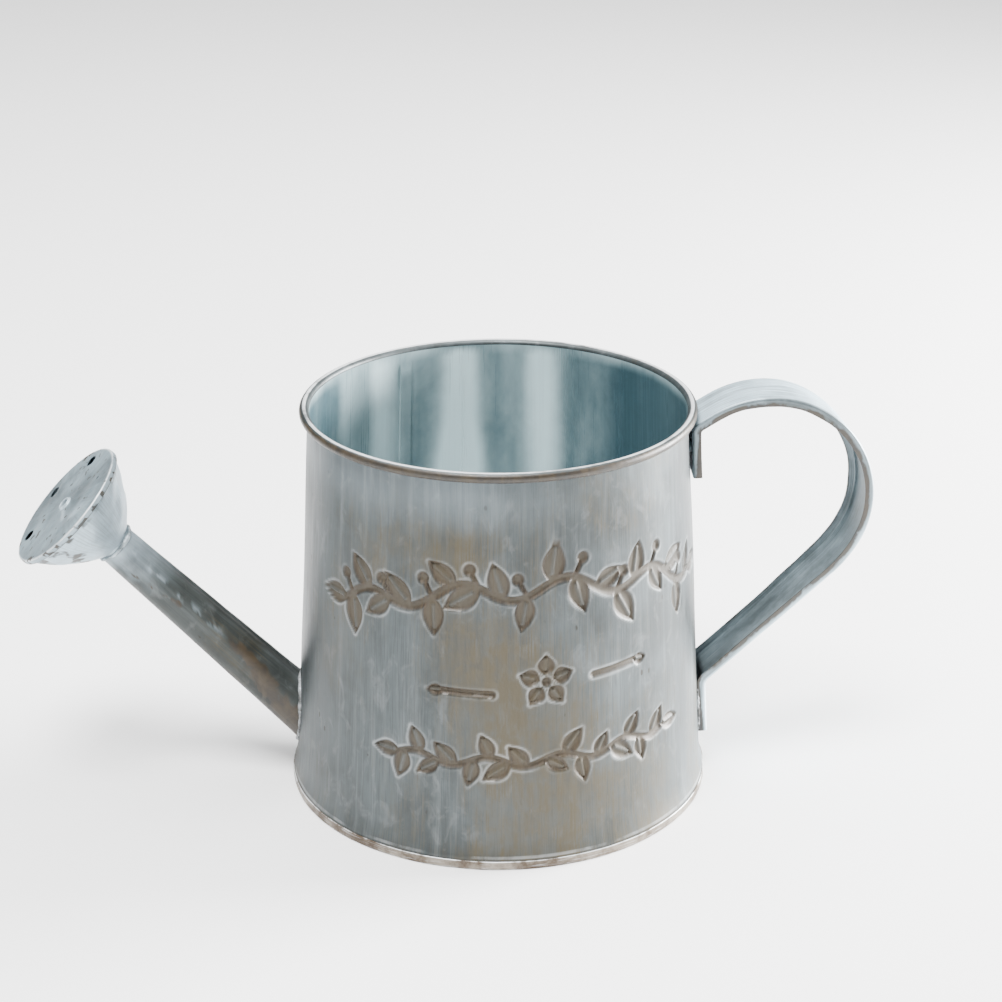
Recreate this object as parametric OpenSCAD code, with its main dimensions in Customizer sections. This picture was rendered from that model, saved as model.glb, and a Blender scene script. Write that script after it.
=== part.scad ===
/* [Body] */
// Height from the table to the top of the rim
can_height = 98; // [90:0.5:110]
// Outer diameter of the rolled rim
rim_d = 95; // [94:0.5:98]
// Outer diameter of the crimped foot
foot_d = 104; // [103:0.5:107]
// Thickness of all the sheet metal
sheet = 0.4; // [0.3:0.05:0.5]
// Diameter of the rolled bead round the rim
bead_d = 2.4; // [2.2:0.1:2.8]
// Height of the crimped foot
foot_height = 2.2; // [2:0.1:3]
// Height at which the wall begins to flare towards the foot
flare_height = 9; // [7:0.5:10]
// Direction of the overlapped side seam, from the handle
seam_angle = 117; // [100:1:140]
// Width of the overlap in the side seam, as an angle
seam_lap = 4; // [3:0.5:8]

/* [Spout] */
// Slope of the spout above the horizontal
spout_angle = 45.8; // [43:0.2:48]
// Length from the wall to the rose's neck, along the axis
spout_length = 62.5; // [55:0.5:70]
// Height at which the spout's axis leaves the wall
spout_root_z = 18.4; // [18:0.1:21]
// Diameter of the spout at the wall
spout_root_d = 13.3; // [12.5:0.1:14]
// Diameter of the spout at the rose
spout_tip_d = 9.8; // [9.4:0.1:10.2]

/* [Rose] */
// Diameter of the rose's face
rose_d = 33.8; // [33:0.2:37]
// Depth of the rose from its neck to its face
rose_depth = 15.3; // [14:0.1:16.5]
// Radius of the bell curve along the rose's back
bell_radius = 36; // [30:1:45]
// How far the rose leans to the front from the spout's axis
rose_lean = 7.5; // [0:0.5:12]
// Depth of the face's edge, pressed over the bell
rose_skirt = 1.4; // [1.2:0.1:1.8]
// Diameter of a sprinkling hole
hole_d = 3.1; // [2:0.1:3.4]
// Number of sprinkling holes near the edge
hole_count = 3; // [1:1:6]
// Distance of those holes from the centre
hole_ring_r = 13.7; // [12:0.1:14.6]
// Angle between neighbouring holes
hole_step = 59; // [40:1:60]
// Bore of the raised middle hole
nozzle_d = 2.6; // [2:0.1:3]
// Height of the lip round the middle hole
nozzle_height = 0.5; // [0.3:0.1:1.6]

/* [Handle] */
// Width of the channel strap
strap_width = 14.6; // [12:0.2:16]
// Depth of the strap's turned edges
flange_depth = 2.3; // [2.3:0.1:2.6]
// Slope of the straight lower run
run_angle = 43.6; // [43:0.1:45]
// Length of the straight lower run
run_length = 41.2; // [40:0.1:42]
// Radius of the bend above the run
ease_radius = 33.4; // [32:0.1:35]
// Angle turned in that bend
ease_sweep = 16.5; // [15:0.5:18]
// Radius of the round top of the loop
loop_radius = 26; // [25.6:0.1:26.4]
// Angle turned in the round top
loop_sweep = 152; // [149:0.5:153]
// Height of the corner where the lower tab turns into the run
lower_corner_z = 25.4; // [25:0.1:26]
// Height of the lower end of the lower tab
lower_tab_z = 11.8; // [11:0.1:14]
// Height of the lower end of the upper tab
upper_tab_z = 80; // [76:0.5:84]
// Distance of the lower tab's face from the wall
lower_tab_gap = 1.7; // [1.5:0.1:1.7]
// Height of the pair of spot welds
weld_z = 87; // [85:0.5:88]

/* [Hidden] */
$fn = 180;

// How far a cutting shape reaches past what it cuts
cut = 1;
neck_cut = 6;

zinc = "#b4bfc4";
zinc_light = "#c6d0d4";
bright_steel = "#8fa3ad";
patina = "#8d7f6e";
solder = "#d7dcdd";

// Body: the bead's centre, and a straight wall from the bead down to the foot
bead_r = bead_d / 2;
bead_centre = [rim_d / 2 - bead_r, can_height - bead_r];
wall_top_r = bead_centre[0] - bead_r + sheet;
foot_wall_r = foot_d / 2 - sheet;
flare_out = 1.1;
wall_slope = (foot_wall_r - flare_out - wall_top_r) / (bead_centre[1] - flare_height);
flare_steps = 8;
foot_straight_z = foot_height + 0.6;
disc_z = 1.2;
curl_start = 190;
curl_opening = 50;
seam_high_z = can_height - 4;

// Spout
spout_root = [-wall_r(spout_root_z), 0, spout_root_z];
spout_taper = (spout_root_d - spout_tip_d) / 2 / spout_length;
spout_inward = 12;
spout_in_rose = 1.8;
wall_hole_d = spout_root_d - 2.2;
spout_bead = 1.1;
spout_bead_reach = 12;

// Rose: the bell is an arc between the neck and the face's edge
bell_edge_r = rose_d / 2 - sheet;
bell_lip = 0.5;
bell_edge_z = rose_depth - sheet - bell_lip;
bell_overlap = 0.1;
bell_neck_r = spout_tip_d / 2 - bell_overlap;
bell_centre = arc_middle([bell_neck_r, 0], [bell_edge_r, bell_edge_z], bell_radius);
first_hole = 50.5;
nozzle_wall = 0.4;
neck_solder_low = -2;
neck_solder_top = 0.9;
neck_solder_thin = 0.35;
neck_solder_thick = 1.6;
neck_solder_inset = 0.8;

// Handle: the path follows the strap's outer face, in the X-Z plane. A station on it is a
// point and a direction.
wall_lean = atan(wall_slope);
upper_bend_r = 3;
lower_bend_r = 2;
bend_steps = 8;
loop_steps = 40;
lower_corner = [wall_r(lower_corner_z) + lower_tab_gap, lower_corner_z];
tab_up = 90 + wall_lean;
tab_down = tab_up + 180;
lower_turn = run_angle - tab_up;
lower_cut = lower_bend_r * tan(-lower_turn / 2);
lower_tab_start = [wall_r(lower_tab_z) + lower_tab_gap, lower_tab_z];
lower_tab_end = lower_corner - lower_cut * heading(tab_up);
run_end = lower_corner + run_length * heading(run_angle);
ease_end = bend_point(run_end, run_angle, ease_radius, ease_sweep);
loop_start_dir = run_angle + ease_sweep;
loop_end = bend_point(ease_end, loop_start_dir, loop_radius, loop_sweep);
loop_end_dir = loop_start_dir + loop_sweep;
upper_turn = tab_down - loop_end_dir;
upper_corner = loop_end + reach_to_wall(loop_end, loop_end_dir) * heading(loop_end_dir);
upper_bend_start = upper_corner - upper_bend_r * tan(upper_turn / 2) * heading(loop_end_dir);
upper_tab_end = [wall_r(upper_tab_z), upper_tab_z];
strap_stations = concat(
    [[lower_tab_start, tab_up], [lower_tab_end, tab_up]],
    bend(lower_tab_end, tab_up, -lower_bend_r, lower_turn, bend_steps),
    [[run_end, run_angle]],
    bend(run_end, run_angle, ease_radius, ease_sweep, bend_steps),
    bend(ease_end, loop_start_dir, loop_radius, loop_sweep, loop_steps),
    [[upper_bend_start, loop_end_dir]],
    bend(upper_bend_start, loop_end_dir, upper_bend_r, upper_turn, bend_steps),
    [[upper_tab_end, tab_down]]);

weld_d = 3;
weld_spacing = 6;
weld_proud = 0.15;
lower_solder_leg = 1.2;
lower_solder_end = 0.5;
lower_solder_lap = 0.8;

// Outer radius of the straight wall at height z
function wall_r(z) = wall_top_r + wall_slope * (bead_centre[1] - z);
// Outer radius of the flared foot of the wall at height z
function flare_r(z) = let (f = (flare_height - z) / (flare_height - foot_straight_z))
    wall_r(z) + (foot_wall_r - wall_r(foot_straight_z)) * f * f;
// Unit vector in the X-Z plane at an angle above +X
function heading(dir) = [cos(dir), sin(dir)];
// The point reached from p after turning by sweep; a right-hand bend has r and sweep below zero
function bend_point(p, dir, r, sweep) = p + r * (heading(dir + 90) + heading(dir + sweep - 90));
// The stations along such a bend, after its first
function bend(p, dir, r, sweep, steps) = [for (i = [1:steps])
    [bend_point(p, dir, r, sweep * i / steps), dir + sweep * i / steps]];
// Distance from p, along dir, to the line of the wall
function reach_to_wall(p, dir) =
    (wall_r(p[1]) - p[0]) / (cos(dir) + wall_slope * sin(dir));
// Centre of the arc of radius r through a and b, on the axis side
function arc_middle(a, b, r) = let (m = (a + b) / 2, h = norm(b - a) / 2, u = (b - a) / (2 * h))
    m + sqrt(r * r - h * h) * [-u[1], u[0]];

// The wall's section: flared foot, straight cone and curled top
module wall_section() {
    flare = [for (i = [0:flare_steps]) let (z = flare_height
        - (flare_height - foot_straight_z) * i / flare_steps) [flare_r(z), z]];
    outer = concat([[wall_r(bead_centre[1]), bead_centre[1]]], flare, [[foot_wall_r, sheet]]);
    n = len(outer);
    inner = [for (i = [n - 1:-1:0]) outer[i] - [sheet, 0]];
    polygon(concat(outer, inner));
    translate(bead_centre) difference() {
        circle(r = bead_r);
        circle(r = bead_r - sheet);
        rotate(curl_start) square([bead_d, bead_d * tan(curl_opening)]);
    }
}

// A solid of the lower half of the space inside the wall's outer face, offset outwards by grow
module wall_envelope(grow = 0) {
    cylinder(h = can_height / 2, r1 = wall_r(0) + grow, r2 = wall_r(can_height / 2) + grow);
}

// Places its children along the spout's axis, at a distance from the wall
module along_spout(distance = 0) {
    translate(spout_root) rotate([0, spout_angle - 90, 0]) translate([0, 0, distance]) children();
}

// A cone about the spout's axis that keeps the tube's taper, offset outwards by grow
module spout_cone(grow, from, to) {
    r0 = spout_root_d / 2 + grow;
    translate([0, 0, from])
        cylinder(h = to - from, r1 = r0 - from * spout_taper, r2 = r0 - to * spout_taper);
}

// Places its children in the rose, whose axis leans from the spout's
module in_rose() {
    along_spout(spout_length) rotate([rose_lean, 0, 0]) children();
}

// The bell's outer shape, filled in
module bell_solid() {
    rotate_extrude() intersection() {
        translate(bell_centre) circle(r = bell_radius);
        square([bell_edge_r, bell_edge_z]);
    }
}

// The band between the strap's outer face and a line at the given depth inside it
module strap_band(depth, width, at_y) {
    outer = [for (s = strap_stations) s[0]];
    inner = [for (i = [len(strap_stations) - 1:-1:0])
        strap_stations[i][0] + depth * heading(strap_stations[i][1] + 90)];
    translate([0, at_y + width / 2, 0]) rotate([90, 0, 0])
        linear_extrude(height = width) polygon(concat(outer, inner));
}

// Two round plugs through the wall and the upper tab
module weld_pair(from, to) {
    for (side = [-1, 1])
        translate([from, side * weld_spacing / 2, weld_z]) rotate([0, 90, 0])
            cylinder(h = to - from, d = weld_d);
}

module body_wall() {
    color(zinc) difference() {
        union() {
            rotate_extrude() wall_section();
            rotate([0, 0, seam_angle]) rotate_extrude(angle = seam_lap)
                polygon([[wall_r(seam_high_z) - 2 * sheet, seam_high_z],
                         [wall_r(seam_high_z) - sheet, seam_high_z],
                         [wall_r(flare_height) - sheet, flare_height],
                         [wall_r(flare_height) - 2 * sheet, flare_height]]);
        }
        along_spout() translate([0, 0, -2 * spout_inward])
            cylinder(h = 3 * spout_inward, d = wall_hole_d);
        weld_pair(bead_centre[0] - 2 * bead_d, bead_centre[0] + bead_d);
    }
}

module rim_wire() {
    color(bright_steel) rotate_extrude() translate(bead_centre) circle(r = bead_r - sheet);
}

module base_pan() {
    outer_r = foot_d / 2;
    inner_leg_r = foot_wall_r - 2 * sheet;
    color(patina) rotate_extrude() polygon([
        [0, disc_z], [inner_leg_r, disc_z], [inner_leg_r, 0], [outer_r, 0],
        [outer_r, foot_height], [foot_wall_r, foot_height], [foot_wall_r, sheet],
        [foot_wall_r - sheet, sheet], [foot_wall_r - sheet, disc_z + sheet], [0, disc_z + sheet]]);
}

module spout_tube() {
    tip = spout_length + spout_in_rose;
    color(zinc) difference() {
        along_spout() difference() {
            spout_cone(0, -spout_inward, tip);
            spout_cone(-sheet, -spout_inward - cut, tip + cut);
        }
        wall_envelope();
    }
}

module spout_solder() {
    color(solder) difference() {
        intersection() {
            along_spout() spout_cone(spout_bead, -spout_bead_reach, spout_bead_reach);
            wall_envelope(spout_bead);
        }
        along_spout() spout_cone(0, -spout_bead_reach - cut, spout_bead_reach + cut);
        wall_envelope();
    }
}

module rose_bell() {
    color(zinc_light) difference() {
        in_rose() {
            rotate_extrude() intersection() {
                translate(bell_centre) difference() {
                    circle(r = bell_radius);
                    circle(r = bell_radius - sheet);
                }
                square([bell_edge_r, bell_edge_z]);
            }
            rotate_extrude() translate([bell_edge_r - sheet, bell_edge_z - bell_overlap])
                square([sheet, bell_lip + bell_overlap]);
        }
        along_spout() spout_cone(0, spout_length - neck_cut, spout_length + neck_cut);
    }
}

module rose_face() {
    color(zinc_light) in_rose() difference() {
        union() {
            translate([0, 0, rose_depth - sheet]) cylinder(h = sheet, d = rose_d);
            translate([0, 0, rose_depth - rose_skirt]) difference() {
                cylinder(h = rose_skirt, d = rose_d);
                translate([0, 0, -cut]) cylinder(h = rose_skirt + 2 * cut, r = bell_edge_r);
            }
            translate([0, 0, rose_depth - sheet])
                cylinder(h = sheet + nozzle_height, d = nozzle_d + 2 * nozzle_wall);
        }
        translate([0, 0, rose_depth - cut]) cylinder(h = nozzle_height + 2 * cut, d = nozzle_d);
        for (i = [0:hole_count - 1]) rotate([0, 0, first_hole + i * hole_step])
            translate([hole_ring_r, 0, rose_depth - cut]) cylinder(h = 2 * cut, d = hole_d);
    }
}

module rose_solder() {
    neck_r = spout_tip_d / 2;
    color(solder) difference() {
        in_rose() difference() {
            rotate_extrude() polygon([[neck_r - neck_solder_inset, neck_solder_low],
                                      [neck_r + neck_solder_thin, neck_solder_low],
                                      [neck_r + neck_solder_thick, neck_solder_top],
                                      [neck_r - neck_solder_inset, neck_solder_top]]);
            bell_solid();
        }
        along_spout() spout_cone(0, spout_length - neck_cut, spout_length + neck_cut);
    }
}

module handle_strap() {
    color(zinc) difference() {
        union() {
            strap_band(sheet, strap_width, 0);
            for (side = [-1, 1])
                strap_band(flange_depth, sheet, side * (strap_width - sheet) / 2);
        }
        wall_envelope();
        weld_pair(bead_centre[0] - bead_d, bead_centre[0] + 2 * bead_d);
    }
}

module upper_spot_welds() {
    wall = wall_r(weld_z);
    color(bright_steel) weld_pair(wall - sheet - weld_proud, wall + sheet + weld_proud);
}

module lower_tab_solder() {
    leg = lower_solder_leg;
    low = lower_tab_z + lower_solder_end;
    tab_height = lower_corner_z - lower_cut - low - lower_solder_end;
    color(solder) for (side = [0, 1]) mirror([0, side, 0]) difference() {
        translate([wall_r(low), strap_width / 2, low]) rotate([0, -wall_lean, 0])
            linear_extrude(height = tab_height)
                polygon([[-leg, 0], [lower_solder_lap, 0], [-leg, 2 * leg]]);
        wall_envelope();
    }
}

body_wall();
rim_wire();
base_pan();
spout_tube();
spout_solder();
rose_bell();
rose_face();
rose_solder();
handle_strap();
upper_spot_welds();
lower_tab_solder();
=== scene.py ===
import math

import bpy
import numpy as np
from mathutils import Matrix, Vector, noise


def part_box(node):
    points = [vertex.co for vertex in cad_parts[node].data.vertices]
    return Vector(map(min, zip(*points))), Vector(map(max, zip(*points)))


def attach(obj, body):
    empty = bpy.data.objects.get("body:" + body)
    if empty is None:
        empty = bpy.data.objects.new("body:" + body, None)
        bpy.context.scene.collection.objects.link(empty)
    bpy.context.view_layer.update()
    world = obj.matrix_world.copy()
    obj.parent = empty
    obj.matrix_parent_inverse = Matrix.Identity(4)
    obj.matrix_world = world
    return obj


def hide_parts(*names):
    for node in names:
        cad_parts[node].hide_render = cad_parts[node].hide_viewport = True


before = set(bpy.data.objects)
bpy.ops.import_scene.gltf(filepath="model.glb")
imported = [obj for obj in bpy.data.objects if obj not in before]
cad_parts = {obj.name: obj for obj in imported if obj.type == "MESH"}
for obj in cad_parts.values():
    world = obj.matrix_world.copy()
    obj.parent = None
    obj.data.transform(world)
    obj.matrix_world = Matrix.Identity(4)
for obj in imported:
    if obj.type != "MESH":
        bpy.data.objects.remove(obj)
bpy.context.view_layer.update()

MM = 0.001
SHARP = 40.0    # edges turned by more degrees than this are drawn sharp

# ---------------- named sizes, in millimetres and degrees
WIRE_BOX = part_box("rim_wire")
FOOT_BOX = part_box("base_pan")
SHEET = 0.4
WIRE_R = (WIRE_BOX[1][2] - WIRE_BOX[0][2]) / 2 / MM
BEAD_R = WIRE_R + SHEET
BEAD_CENTRE_R = WIRE_BOX[1][0] / MM - WIRE_R
BEAD_CENTRE_Z = (WIRE_BOX[1][2] + WIRE_BOX[0][2]) / 2 / MM
FOOT_R = FOOT_BOX[1][0] / MM
FOOT_HEIGHT = FOOT_BOX[1][2] / MM
PAN_LIFT = 1.2    # the pan's bottom above the foot's edge
WALL_TOP_R = BEAD_CENTRE_R - WIRE_R
FLARE_Z = 9.0
FLARE_OUT = 1.1
FOOT_STRAIGHT_Z = FOOT_HEIGHT + 0.6
WALL_SLOPE = (FOOT_R - SHEET - FLARE_OUT - WALL_TOP_R) / (BEAD_CENTRE_Z - FLARE_Z)
SEAM_AZ = 117.0
SEAM_LAP = 4.0

SPOUT_ANGLE = 45.8
SPOUT_LENGTH = 62.5
SPOUT_ROOT_Z = 18.4
SPOUT_ROOT_R = 6.65
SPOUT_TIP_R = 4.9
SPOUT_IN_ROSE = 1.8
WALL_HOLE_R = 5.55

ROSE_R = 16.9
ROSE_DEPTH = 15.3
ROSE_LEAN = 7.5
ROSE_SKIRT = 1.4
BELL_RADIUS = 36.0
HOLE_R = 1.55
HOLE_RING_R = 13.7
HOLE_ANGLES = (50.5, 109.5, 168.5)
NOZZLE_R = 1.3
NOZZLE_HEIGHT = 0.5
PINHOLE = ((11.5, -2.7), 0.45)    # place and radius of a stray pinhole in the face

STRAP_WIDTH = 14.6
FLANGE_DEPTH = 2.3
RUN_ANGLE = 43.6
RUN_LENGTH = 41.2
EASE_RADIUS = 33.4
EASE_SWEEP = 16.5
LOOP_RADIUS = 26.0
LOOP_SWEEP = 152.0
LOWER_CORNER_Z = 25.4
LOWER_TAB_Z = 11.8
UPPER_TAB_Z = 80.0
LOWER_TAB_GAP = 1.7
WELD_Z = 87.0
WELD_SPACING = 6.0
WELD_R = 1.5
TURNED_IN = 6.3    # degrees by which the loop's far side is turned in

ORNAMENT_AZ = -80.5
ORNAMENT_R = 48.0
GROOVE_DEPTH = 0.7
CLEAR = 0.02    # gap kept between two pieces that touch


def wall_r(z):
    """Outer radius of the straight wall at height z."""
    return WALL_TOP_R + WALL_SLOPE * (BEAD_CENTRE_Z - z)


def outer_r(z):
    """Outer radius of the wall, flared foot included; z is an array."""
    z = np.asarray(z, float)
    f = np.clip((FLARE_Z - z) / (FLARE_Z - FOOT_STRAIGHT_Z), 0, None)
    flared = wall_r(z) + (FOOT_R - SHEET - wall_r(FOOT_STRAIGHT_Z)) * f * f
    return np.where(z < FOOT_STRAIGHT_Z, FOOT_R - SHEET, np.where(z < FLARE_Z, flared, wall_r(z)))


def smooth(a, b, x):
    """0 at a, 1 at b, an S-curve between them and level beyond; b may be less than a."""
    t = np.clip((np.asarray(x, float) - a) / (b - a), 0, 1)
    return t * t * (3 - 2 * t)


def hump(x, at, wide, y=0.0, at_y=0.0, high=1.0):
    """A soft hill that rises to 1 along the line x = at, or at the point (at, at_y)."""
    return np.exp(-((x - at) / wide) ** 2 - ((y - at_y) / high) ** 2)


def perlin(points, scale, seed=0.0, octaves=1):
    """Perlin noise, about -1 to 1, at each of the points (in mm), with features scale mm across."""
    out = np.zeros(len(points))
    for i, p in enumerate(points):
        v = Vector((p[0] / scale + seed, p[1] / scale - seed * 0.7, p[2] / scale + seed * 0.3))
        total, amp = 0.0, 1.0
        for _ in range(octaves):
            total += amp * noise.noise(v)
            v = v * 2.03
            amp *= 0.5
        out[i] = total
    return out


# ---------------- mesh building
def new_object(name, points, faces):
    """A plain object in the scene, from points in mm; faces as an array or as lists."""
    mesh = bpy.data.meshes.new(name)
    rows = faces.tolist() if isinstance(faces, np.ndarray) else faces
    mesh.from_pydata((np.asarray(points, float) * MM).tolist(), [], rows)
    obj = bpy.data.objects.new(name, mesh)
    bpy.context.scene.collection.objects.link(obj)
    return obj


def build(name, points, faces, materials, node, uvs, attributes=None, kinds=None):
    """A piece of the part, standing for a CAD node. kinds is one material index per face."""
    obj = new_object(name, points, faces)
    mesh = obj.data
    for m in materials:
        mesh.materials.append(m)
    if kinds is not None:
        mesh.polygons.foreach_set("material_index", kinds)
    layer = mesh.uv_layers.new(name="grain")
    layer.data.foreach_set("uv", np.asarray(uvs, float).ravel() * MM)
    for key, values in (attributes or {}).items():
        a = mesh.attributes.new(key, "FLOAT", "POINT")
        a.data.foreach_set("value", np.asarray(values, float).ravel())
    mesh.polygons.foreach_set("use_smooth", [True] * len(mesh.polygons))
    mesh.update()
    mesh.validate()
    mesh.set_sharp_from_angle(angle=math.radians(SHARP))
    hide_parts(node)
    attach(obj, "root")
    return obj


def grid(rows, cols, wrap_rows=False, wrap_cols=False, flip=False):
    """Quads of a rows x cols grid of points, and for each quad's corners its (row, column)."""
    r = np.arange(rows if wrap_rows else rows - 1)
    c = np.arange(cols if wrap_cols else cols - 1)
    rr, cc = np.meshgrid(r, c, indexing="ij")
    rr, cc = rr.ravel(), cc.ravel()
    corners = [(rr, cc), (rr, cc + 1), (rr + 1, cc + 1), (rr + 1, cc)]
    if flip:
        corners = corners[::-1]
    faces = np.stack([(a % rows) * cols + (b % cols) for a, b in corners], axis=1)
    return faces, corners


def grid_uvs(corners, along, around):
    """UVs in mm for a grid: along by row, around by column, each one longer than the grid."""
    u = np.stack([around[b] for a, b in corners], axis=1)
    v = np.stack([along[a] for a, b in corners], axis=1)
    return np.stack([u, v], axis=2).reshape(-1, 2)


def lengths(path):
    """Running length along a closed path of points, one longer than the path."""
    p = np.vstack([path, path[:1]])
    return np.concatenate([[0], np.cumsum(np.linalg.norm(np.diff(p, axis=0), axis=1))])


def rounded(points, radii, steps=4):
    """A closed 2D outline with its corners rounded by radii, one for each point; 0 keeps a corner."""
    out = []
    n = len(points)
    for i in range(n):
        p, a, b = (np.array(points[j % n], float) for j in (i, i - 1, i + 1))
        da, db = a - p, b - p
        la, lb = np.linalg.norm(da), np.linalg.norm(db)
        r = min(radii[i], 0.49 * la, 0.49 * lb)
        if r <= 0:
            out.append(p)
            continue
        s, e = p + da / la * r, p + db / lb * r
        for k in range(steps + 1):
            t = k / steps
            out.append((1 - t) ** 2 * s + 2 * t * (1 - t) * p + t * t * e)
    return np.array(out)


def revolve(profile, columns=180, start=0.0):
    """Points and faces of a closed (r, z) profile turned about Z, with UVs in mm."""
    az = np.radians(start + np.arange(columns) * 360.0 / columns)
    r, z = profile[:, 0][:, None], profile[:, 1][:, None]
    pts = np.stack([r * np.cos(az), r * np.sin(az), z + 0 * az], axis=2).reshape(-1, 3)
    faces, corners = grid(len(profile), columns, wrap_rows=True, wrap_cols=True)
    around = np.arange(columns + 1) * 2 * math.pi * max(profile[:, 0].max(), 1) / columns
    return pts, faces, grid_uvs(corners, lengths(profile), around)


def outward(profile):
    """The profile in the order that makes revolve() face outwards."""
    area = np.sum(profile[:, 0] * np.roll(profile[:, 1], -1)
                  - np.roll(profile[:, 0], -1) * profile[:, 1])
    return profile if area < 0 else profile[::-1]


def bake_boolean(obj, cutters):
    """Cuts the cutters out of obj and applies the cut to its mesh."""
    for c in cutters:
        mod = obj.modifiers.new("cut", "BOOLEAN")
        mod.operation, mod.solver, mod.object = "DIFFERENCE", "EXACT", c
    bpy.context.view_layer.update()
    graph = bpy.context.evaluated_depsgraph_get()
    mesh = bpy.data.meshes.new_from_object(obj.evaluated_get(graph))
    obj.modifiers.clear()
    old = obj.data
    obj.data = mesh
    bpy.data.meshes.remove(old)
    mesh.set_sharp_from_angle(angle=math.radians(SHARP))
    for c in cutters:
        data = c.data
        bpy.data.objects.remove(c)
        bpy.data.meshes.remove(data)


def cutter(radius, height, matrix):
    """A plain cylinder that only cuts: radius and height in mm, centred, placed by matrix."""
    n = 48
    a = np.arange(n) * 2 * math.pi / n
    ring = np.stack([radius * np.cos(a), radius * np.sin(a)], axis=1)
    pts = [(x, y, z) for z in (-height / 2, height / 2) for x, y in ring]
    pts = [matrix @ Vector(p) for p in pts]
    faces = [[i, (i + 1) % n, n + (i + 1) % n, n + i] for i in range(n)]
    faces += [list(range(n))[::-1], list(range(n, 2 * n))]
    obj = new_object("cutter", pts, faces)
    obj.data.polygons.foreach_set("use_smooth", [True] * len(faces))
    return obj


# ---------------- materials
class Nodes:
    """A short way to write a material's nodes."""

    def __init__(self, name):
        self.mat = bpy.data.materials.new(name)
        self.mat.use_nodes = True
        self.tree = self.mat.node_tree
        self.shader = self.tree.nodes["Principled BSDF"]
        self.where = self.add("ShaderNodeTexCoord").outputs["Object"]

    def link(self, value, socket):
        """Feeds a socket with another node's output, a number or a colour."""
        if isinstance(value, (int, float)):
            socket.default_value = value
        elif isinstance(value, tuple):
            socket.default_value = (*value, 1.0)
        else:
            self.tree.links.new(value, socket)

    def add(self, kind, inputs=None, **props):
        n = self.tree.nodes.new(kind)
        for key, value in props.items():
            setattr(n, key, value)
        for key, value in (inputs or {}).items():
            self.link(value, n.inputs[key])
        return n

    def grain(self):
        """Coordinates that run round a piece and along it, in metres."""
        return self.add("ShaderNodeUVMap", uv_map="grain").outputs["UV"]

    def scaled(self, vector, scale, shift=(0, 0, 0)):
        n = self.add("ShaderNodeMapping", {"Vector": vector})
        n.inputs["Scale"].default_value = scale
        n.inputs["Location"].default_value = shift
        return n.outputs["Vector"]

    def noise(self, vector, scale=1.0, detail=4.0, rough=0.55, distortion=0.0):
        return self.add("ShaderNodeTexNoise", {
            "Vector": vector, "Scale": scale, "Detail": detail, "Roughness": rough,
            "Distortion": distortion}).outputs["Fac"]

    def spots(self, vector, scale):
        return self.add("ShaderNodeTexVoronoi", {"Vector": vector, "Scale": scale}).outputs["Distance"]

    def span(self, value, low, high, to_low=0.0, to_high=1.0):
        """value from low..high to to_low..to_high, clamped, with soft ends."""
        return self.add("ShaderNodeMapRange", {
            "Value": value, "From Min": low, "From Max": high, "To Min": to_low, "To Max": to_high},
            interpolation_type="SMOOTHSTEP").outputs["Result"]

    def math(self, operation, a, b):
        return self.add("ShaderNodeMath", {0: a, 1: b}, operation=operation).outputs[0]

    def times(self, a, b):
        return self.math("MULTIPLY", a, b)

    def plus(self, a, b):
        return self.math("ADD", a, b)

    def minus(self, a, b):
        return self.math("SUBTRACT", a, b)

    def mix(self, fac, a, b):
        """Colour a, going over to colour b by fac."""
        return self.add("ShaderNodeMix", {0: fac, 6: a, 7: b}, data_type="RGBA").outputs[2]

    def attribute(self, name):
        """A value stored on the mesh's points; 0 on a mesh that has none by this name."""
        return self.add("ShaderNodeAttribute", attribute_name=name).outputs["Fac"]

    def bump(self, height, distance, strength):
        n = self.add("ShaderNodeBump", {"Distance": distance, "Strength": strength, "Height": height})
        self.link(n.outputs[0], self.shader.inputs["Normal"])

    def finish(self, colour, rough, metal=0.0):
        self.link(colour, self.shader.inputs["Base Color"])
        self.link(rough, self.shader.inputs["Roughness"])
        self.link(metal, self.shader.inputs["Metallic"])
        return self.mat


PALE = (0.070, 0.084, 0.088)
GREY = (0.036, 0.043, 0.044)
WORN = (0.74, 0.77, 0.78)
BROWN = (0.048, 0.036, 0.014)
UMBER = (0.016, 0.011, 0.006)
SOIL = (0.036, 0.024, 0.011)
WASH = (0.150, 0.170, 0.175)
CHALK = (0.44, 0.54, 0.60)
STREAK = (0.026, 0.029, 0.029)
GROOVE = (0.048, 0.034, 0.016)
DIRT_DARK, DIRT_LIGHT = (0.020, 0.012, 0.006), (0.050, 0.032, 0.016)
SHADE_DARK, SHADE_LIGHT = (0.052, 0.064, 0.067), (0.095, 0.115, 0.120)
# the middle steel colour is the inside's painted highlight
STEEL_DARK, STEEL_HIGHLIGHT, STEEL_LINE = (0.038, 0.083, 0.102), (0.76, 0.97, 1.0), (0.22, 0.32, 0.36)
FOOT_DARK, FOOT_LIGHT = (0.075, 0.052, 0.034), (0.24, 0.21, 0.17)


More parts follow.
